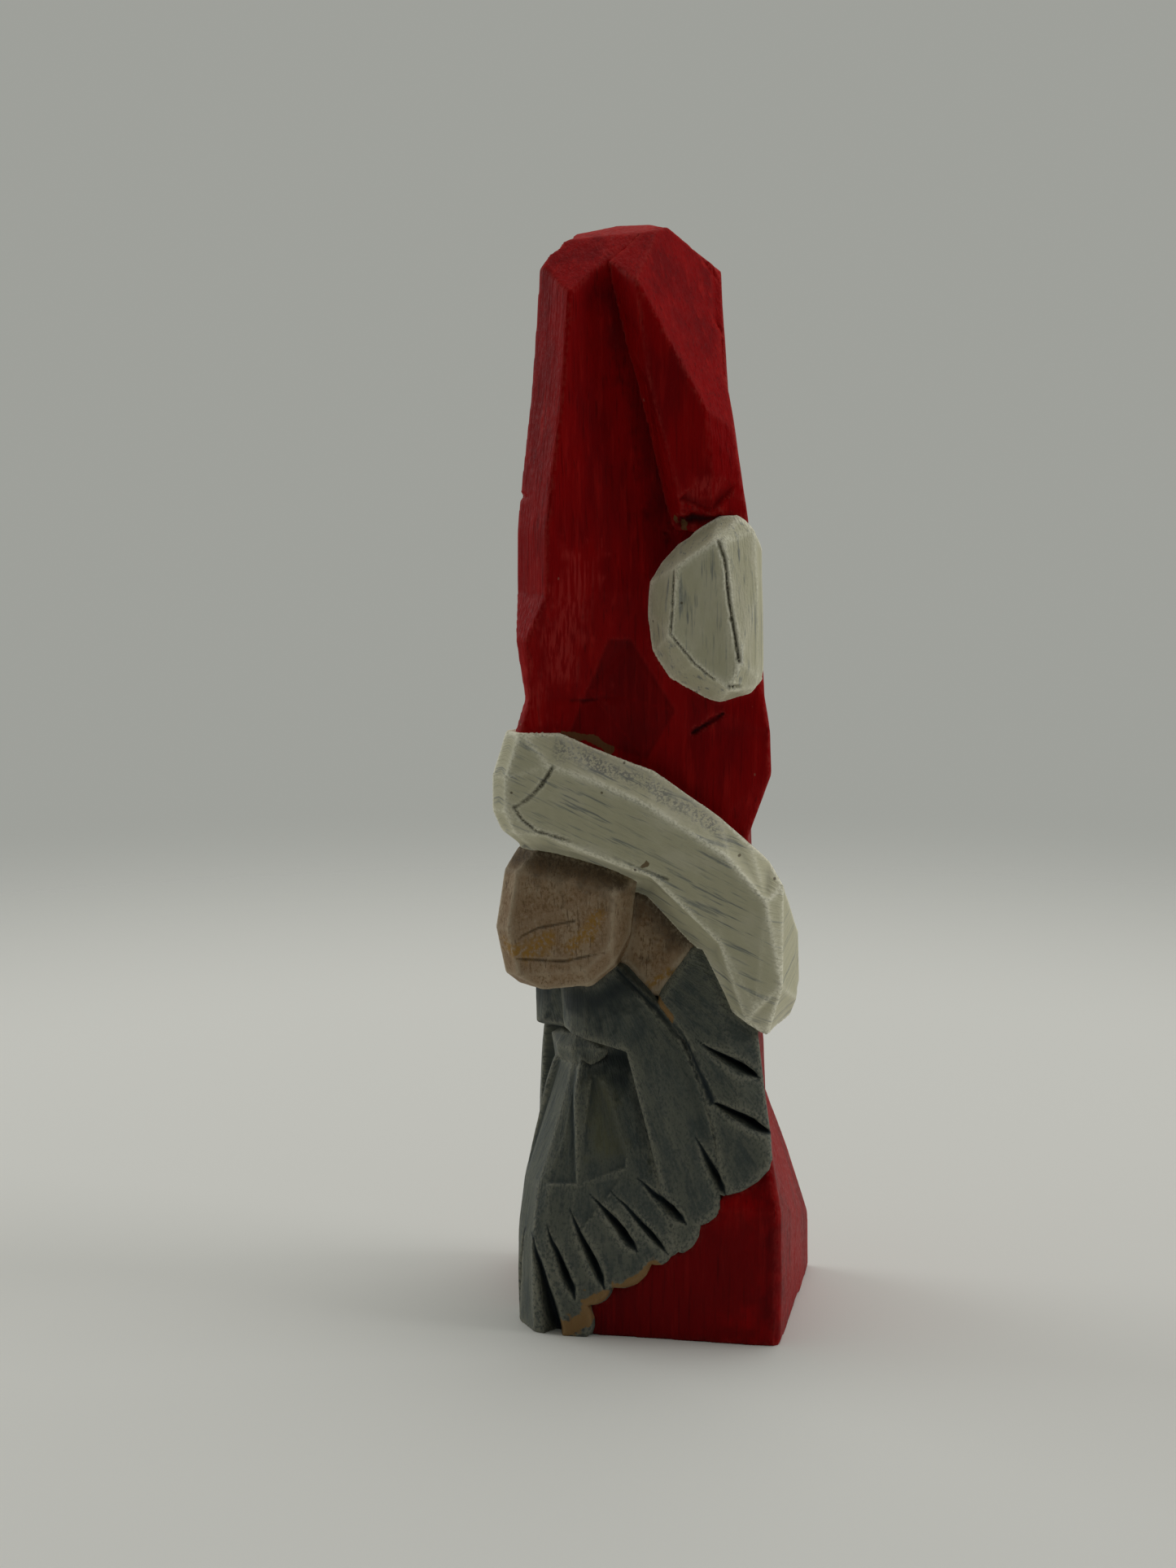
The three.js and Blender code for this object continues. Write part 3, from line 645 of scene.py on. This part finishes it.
def comb(carving):
    """Cuts the whiskers' V-tool grooves on both sides, and says how deep in one each point lies, which sets
    how dark the painted shade in them is.

    u runs level along each face that slants back from the front edge, at 45 degrees to both axes.
    """
    x, y, z = (carving.points / MM).T
    u = (np.abs(x) + y) * ROOT_HALF
    wander = np.column_stack([noise(carving.points, 1.5 * MM, seed=seed) for seed in (21, 22)])
    place = np.column_stack([u, z]) + 0.12 * wander
    on_face = np.abs(x) - y > FACE_LIMIT
    deepest = np.zeros(len(x))
    darkest = np.zeros(len(x))
    for start, end, width, depth in GROOVES:
        start, step = np.array(start), np.array(end) - np.array(start)
        share = np.clip((place - start) @ step / (step @ step), 0, 1)
        reach = np.linalg.norm(place - start - share[:, None] * step, axis=1)
        # a groove starts as a point, swells, and narrows at its end
        swell = np.sqrt(fade(share, 0, 0.75)) * (1 - 0.75 * fade(share, 0.85, 1))
        profile = np.clip(1 - reach / (width / 2 * np.maximum(swell, 0.2)), 0, 1) * on_face
        deepest = np.maximum(deepest, profile * depth * swell)
        darkest = np.maximum(darkest, fade(profile, 0.05, 0.8))
    inward = np.column_stack([-np.sign(x), np.ones(len(x)), np.zeros(len(x))]) * ROOT_HALF
    carving.points = carving.points + inward * (deepest * MM)[:, None]
    return darkest


def mirrored(places):
    """The same paths, together with their copies on the figure's right side."""
    both = list(places)
    for path, *sizes in places:
        both.append(([[-RIGHT_SHARE * x, RIGHT_SHARE * y, z] for x, y, z in path], *sizes))
    return both


def shade_under_brim(carving):
    """Painted shade, dark brown, on the nose and cheeks just below the brim."""
    return 0.9 * patches(carving.points, mirrored([
        ([[0.0, -16.0, 44.8], [3.6, -13.6, 44.4], [7.4, -10.2, 43.2]], 5.5),
        ([[6.0, -7.6, 42.6], [7.6, -5.6, 40.0], [9.4, -4.2, 37.4]], 6.5),
    ]), soft=1)


def shade_robe_front(carving):
    """Painted shade on the robe's faces below the whiskers, which makes its paint look deepest there."""
    return 0.5 * patches(carving.points, mirrored([([[8.0, -10.5, 0.0], [14.5, -4.0, 8.0]], 21.0)]), soft=0.8)


def whittle_hat(carving):
    """The knife's last flats over the brim, darkened with painted shade, and painted shade beside the fold
    where the end hangs over.
    """
    middle = [2.84, -10.38, 60.0]
    rim = [
        [4.33, -9.10, 64.7],
        [5.28, -7.32, 64.6],
        [8.17, -4.40, 58.2],
        [5.99, -6.07, 53.6],
        [2.12, -11.87, 56.2],
    ]
    fold = [[3.2, -7.6, 95.6], [4.9, -6.6, 88.7], [5.8, -5.5, 82.9], [6.9, -4.6, 76.8]]
    flats = np.zeros(len(carving.points))
    for start, end in zip(rim, rim[1:]):
        flats = np.maximum(flats, carving.facet([middle, start, end]))
    shade = patches(carving.points, [(fold, 5.0)], soft=1)
    # both are painted shade: the flats darker as they turn from the light, and the side of the fold
    return np.maximum(0.4 * flats, 0.6 * shade)


def whittle_tail(carving):
    """Two flats on the folded-over end of the hat, above the pompom."""
    carving.facet([[8.9, -4.7, 77.6], [11.6, -3.2, 79.9], [10.9, -2.6, 76.4]])
    carving.facet([[11.6, -3.2, 79.9], [12.4, -0.6, 79.0], [10.9, -2.6, 76.4]])
    return np.zeros(len(carving.points))


def whittle_beard(carving):
    """The beard's flats and grooves, with painted shade on some flats and in the grooves, and deep painted
    shade below the moustache and lip.
    """
    flats = np.zeros(len(carving.points))
    # each flat's tone is how much painted shade darkens it
    for corners, tone in mirrored([
        ([[1.5, -11.0, 24.2], [1.7, -14.8, 14.2], [4.3, -12.7, 14.4]], 0.0),
        ([[3.4, -10.2, 24.0], [4.5, -12.8, 14.4], [7.1, -9.2, 16.0]], 0.08),
        ([[3.4, -10.2, 24.0], [7.1, -9.2, 16.0], [7.2, -8.2, 24.0]], 0.15),
        ([[4.5, -12.9, 14.0], [7.2, -9.6, 15.2], [4.6, -13.7, 9.0]], 0.0),
    ]):
        flats = np.maximum(flats, tone * carving.facet(corners))
    shade = patches(carving.points, mirrored([
        ([[3.4, -10.0, 26.0], [5.2, -8.3, 26.0], [7.2, -8.2, 25.0]], 5.0),
        ([[5.6, -8.9, 24.0], [7.6, -8.3, 23.0], [8.6, -8.0, 19.0]], 3.4),
    ]), soft=1)
    return np.maximum(comb(carving), np.maximum(0.9 * shade, flats))


def hollow_under_nose(carving):
    """The moustache's grooves, and the shade below the nose and beside the lip."""
    shade = patches(carving.points, mirrored([
        ([[2.5, -12.0, 31.5], [5.0, -11.0, 31.5], [6.6, -9.0, 33.0]], 5.6),
        ([[2.2, -11.9, 29.0], [3.8, -11.6, 27.8]], 1.4),
    ]), soft=1)
    return np.maximum(comb(carving), 0.85 * shade)


ochre_by_brim = [([[1.9, -12.4, 56.0], [3.1, -10.4, 55.6], [4.2, -8.8, 54.6]], 1.2)]
ochre_by_pompom = [
    ([[7.6, -4.6, 75.3], [8.6, -4.2, 75.2]], 1.3),
    ([[6.9, -5.4, 70.5], [6.8, -5.9, 66.0]], 0.7),
]
# the crease where the folded-over end meets the pompom, darkened with painted shade
shaded_crease = ([[7.4, -4.8, 74.6], [8.4, -4.3, 75.4], [9.8, -3.8, 75.7], [12.0, -2.0, 75.4]], 1.9, 0.5)
carve("hat_cone", 0.22, CRIMSON, detail=whittle_hat, bare=ochre_by_brim + ochre_by_pompom, cuts=[
    ([[1.4, -12.6, 59.2], [2.6, -10.7, 59.0], [3.8, -8.8, 59.3]], 0.6, 0.1),  # across the flats over the brim
    ([[9.2, -3.2, 56.2], [11.2, -1.3, 58.0]], 0.6, 0.3),  # a nick on the left side
    shaded_crease,
# these patches of thin paint are also painted highlights, lighter where light falls on the front edge and the
# top
], worn_and_lit=[
    ([[-0.5, -14.0, 58.0], [0.5, -12.5, 70.0]], 5.0),  # the front edge
    ([[2.2, -13.0, 62.0], [3.0, -12.0, 70.0]], 6.0),  # beside it
    ([[-6.0, -2.0, 99.0], [4.0, 2.0, 101.0]], 16.0),  # the top
])
# its patch of thin paint is also a painted highlight on the lit flat of the folded-over end
carve("hat_tail", 0.2, CRIMSON, detail=whittle_tail, bare=ochre_by_pompom, cuts=[shaded_crease], worn_and_lit=[
    ([[9.8, -4.2, 77.8], [11.4, -2.8, 78.8]], 2.2),
])
carve("robe_body", 0.26, CRIMSON, detail=shade_robe_front, bare=[([[5.6, -13.2, 0.2], [6.6, -12.0, 3.2]], 1.6)])
carve("hat_brim", 0.17, CREAM, brush=along_brim, bare=[([[9.2, -9.0, 44.5], [9.6, -8.8, 44.7]], 0.8)], cuts=[
    ([[3.8, -15.0, 53.5], [3.3, -15.6, 52.1], [2.5, -16.7, 50.6], [1.6, -17.7, 49.7]], 0.6, 0.10),
    ([[1.6, -17.7, 49.7], [2.0, -17.1, 48.6], [2.7, -16.1, 47.6]], 0.5, 0.06),
    ([[2.6, -16.1, 47.6], [6.1, -12.7, 46.2], [11.0, -7.5, 43.4]], 0.5, 0.06),
], worn_and_lit=[([[3.0, -13.5, 54.6], [9.0, -7.5, 52.0], [13.8, -3.0, 48.0]], 3.4)])
# an edge between two of the pompom's facets
pompom_edge = [
    [10.3, -6.4, 71.2],
    [10.6, -6.7, 67.5],
    [10.4, -6.8, 65.6],
    [12.2, -5.3, 62.9],
    [13.3, -4.1, 61.6],
]
carve("pompom", 0.16, CREAM, cuts=[
    ([[13.5, -3.9, 74.4], [14.1, -3.4, 72.0], [14.3, -3.2, 68.9], [15.0, -2.5, 63.3]], 0.6, 0.25),
    ([[14.5, -3.2, 61.0], [14.6, -0.4, 60.6]], 0.6, 0.2),
    (pompom_edge, 0.5, 0.1),
])
carve("nose", 0.15, SKIN, detail=shade_under_brim, cuts=[
    ([[0.5, -17.3, 36.2], [1.7, -17.0, 37.8], [2.7, -15.9, 38.6], [4.9, -13.4, 39.3]], 0.4, 0.04),
    ([[1.1, -17.1, 35.6], [4.1, -14.1, 35.5], [6.6, -11.3, 36.4], [7.0, -9.9, 38.6]], 0.4, 0.08),
], worn_and_lit=mirrored([
    ([[0.4, -17.6, 36.6], [1.9, -16.6, 36.2], [3.4, -15.2, 37.6]], 2.4),
    ([[4.9, -13.6, 37.0], [6.3, -12.0, 39.5]], 2.0),
]))
# the crease between the moustache and the hair, darkened with painted shade
whisker_crease = mirrored([
    ([[6.1, -9.3, 34.4], [8.4, -6.7, 31.0], [10.6, -5.2, 28.1], [13.1, -3.9, 22.8]], 1.1, 0.25),
])
ochre_cheek = mirrored([([[7.2, -6.4, 32.9], [8.6, -5.3, 34.2]], 1.3)])
ochre_hair = mirrored([
    ([[7.6, -6.6, 32.3], [9.3, -5.9, 30.4]], 1.4),
    ([[15.2, -3.0, 34.0], [16.0, -2.0, 30.6]], 1.8),
])
for side in ("left", "right"):
    carve("cheek_" + side, 0.15, SKIN, detail=shade_under_brim, worn_and_lit=ochre_cheek)
    carve("moustache_" + side, 0.15, GREY, brush=fanned, detail=hollow_under_nose, cuts=whisker_crease)
    carve("hair_" + side, 0.15, GREY, brush=fanned, detail=comb, cuts=whisker_crease, bare=ochre_hair)
carve("lower_lip", 0.15, GREY, brush=fanned)
carve("beard", 0.15, GREY, brush=fanned, detail=whittle_beard, worn_and_lit=[
    ([[4.4, -10.0, 22.5], [5.6, -10.0, 18.0]], 4.5),
], bare=[
    ([[3.8, -14.2, 0.3], [5.6, -12.9, 1.6], [6.6, -11.9, 3.6], [8.8, -9.7, 5.0], [10.2, -8.2, 7.0]], 2.3),
])


# ---- the studio ----
FLOOR_COLOUR = (0.74, 0.735, 0.70, 1)
FLOOR_RADIUS = 0.30
FLOOR_FADES = (0.12, 0.28)  # from the middle, where it starts and ends
CARD_COLOUR = (0.01, 0.01, 0.01, 1)
CARD_RADIUS = 0.62
CARD_HEIGHTS = (-0.05, 0.55)
CARD_START = -100  # degrees round from the figure's left
CARD_SWEEP = 130
BACKDROP_COLOUR = (0.345, 0.352, 0.325, 1)
CAMERA_PLACE = (0.25586, -0.19633, 0.1035)
CAMERA_TILT = 80.57  # degrees up from looking straight down
CAMERA_TURN = 53.68  # degrees anticlockwise, seen from above, from looking along +Y
CAMERA_LENS = 80.07  # mm, in front of a sensor 36 mm wide


def floor():
    """A pale floor that fades into the backdrop's grey a short way behind the figure."""
    steps = 64
    turns = [2 * math.pi * i / steps for i in range(steps)]
    corners = [(FLOOR_RADIUS * math.cos(turn), FLOOR_RADIUS * math.sin(turn), 0) for turn in turns]
    mesh = bpy.data.meshes.new("floor")
    mesh.from_pydata(corners, [], [range(steps)])
    material, shader = principled("pale_floor")
    shader.inputs["Base Color"].default_value = FLOOR_COLOUR
    shader.inputs["Roughness"].default_value = 0.8
    tree = material.node_tree
    coords = tree.nodes.new("ShaderNodeTexCoord")
    length = tree.nodes.new("ShaderNodeVectorMath")
    length.operation = "LENGTH"
    tree.links.new(coords.outputs["Object"], length.inputs[0])
    spread = tree.nodes.new("ShaderNodeMapRange")
    spread.interpolation_type = "SMOOTHSTEP"
    spread.inputs["From Min"].default_value = FLOOR_FADES[0]
    spread.inputs["From Max"].default_value = FLOOR_FADES[1]
    spread.inputs["To Min"].default_value = 1
    spread.inputs["To Max"].default_value = 0
    tree.links.new(length.outputs["Value"], spread.inputs["Value"])
    tree.links.new(spread.outputs[0], shader.inputs["Alpha"])
    mesh.materials.append(material)
    placed("floor", mesh)


def softbox(name, place, size, power):
    """A square area light, aimed at the middle of the figure."""
    light = bpy.data.lights.new(name, "AREA")
    light.shape = "SQUARE"
    light.size = size
    light.energy = power
    obj = placed(name, light)
    obj.location = place
    aim = Vector((0, 0, HEIGHT / 2)) - Vector(place)
    obj.rotation_euler = aim.to_track_quat("-Z", "Y").to_euler()


def dark_card():
    """A curved black card on the camera's side, as a photographer sets up to deepen the colours."""
    steps = 12
    turns = [math.radians(CARD_START + CARD_SWEEP * i / steps) for i in range(steps + 1)]
    rim = [(CARD_RADIUS * math.cos(turn), CARD_RADIUS * math.sin(turn)) for turn in turns]
    points = [(x, y, z) for x, y in rim for z in CARD_HEIGHTS]
    faces = [(2 * i, 2 * i + 2, 2 * i + 3, 2 * i + 1) for i in range(steps)]
    mesh = bpy.data.meshes.new("dark_card")
    mesh.from_pydata(points, [], faces)
    material, shader = principled("black_card")
    shader.inputs["Base Color"].default_value = CARD_COLOUR
    shader.inputs["Specular IOR Level"].default_value = 0
    mesh.materials.append(material)
    obj = placed("dark_card", mesh)
    obj.visible_camera = False


def studio():
    """A grey room with three soft lights, named by where they stand as seen from the camera."""
    world = bpy.data.worlds.new("studio")
    world.use_nodes = True
    world.node_tree.nodes["Background"].inputs["Color"].default_value = BACKDROP_COLOUR
    bpy.context.scene.world = world
    floor()
    dark_card()
    softbox("overhead", (-0.05, 0.15, 0.65), 0.45, 1.1)
    softbox("right_back", (0.45, 0.45, 0.35), 0.35, 1.05)
    softbox("left", (-0.5, -0.25, 0.25), 0.35, 0.85)


def camera():
    """Looks at the figure from its left front, a little from above."""
    lens = bpy.data.cameras.new("camera")
    lens.lens = CAMERA_LENS
    lens.sensor_width = 36
    lens.clip_start = 0.01
    obj = placed("camera", lens)
    obj.location = CAMERA_PLACE
    obj.rotation_euler = (math.radians(CAMERA_TILT), 0, math.radians(CAMERA_TURN))
    bpy.context.scene.camera = obj


studio()
camera()
bpy.context.scene.view_settings.view_transform = "Standard"
